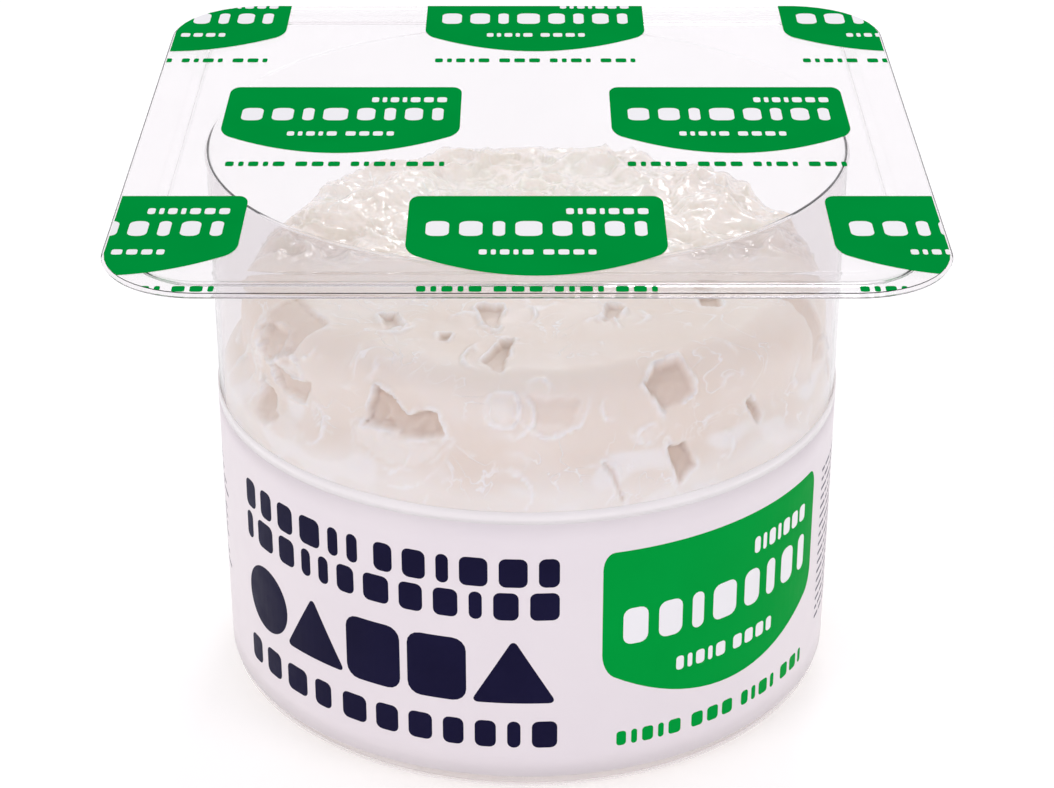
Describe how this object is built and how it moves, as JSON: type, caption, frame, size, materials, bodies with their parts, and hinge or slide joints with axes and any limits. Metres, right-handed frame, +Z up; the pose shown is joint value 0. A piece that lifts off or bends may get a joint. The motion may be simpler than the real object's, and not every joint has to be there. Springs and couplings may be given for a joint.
{
  "type": "sealed tub of fresh goat cheese",
  "caption": "Clear thermoformed tub with a square flange and a flat sealed lid film, wrapped in a label, holding a round of fresh white goat cheese.",
  "frame": {"origin": "centre of the ring that the tub stands on, at table height", "axes": "+Z up through the lid; +X to the right and -Y towards the viewer, with the label's print facing -Y; the flange's sides are parallel to X and Y"},
  "size_m": [0.088, 0.088, 0.066],
  "materials": {
    "tub_plastic": "clear thermoformed sheet, glossy",
    "lid_film": "thin clear film, glossy and slightly slack",
    "label": "white printed wrap, satin",
    "cheese": "moist fresh white cheese, glossy where wet",
    "print_green": "opaque green printed ink",
    "print_navy": "opaque navy printed ink",
    "print_white": "opaque white printed ink"
  },
  "bodies": {
    "root": {"tub": "tub_plastic", "lid_film": "lid_film", "label": "label", "cheese": "cheese"}
  },
  "joints": []
}
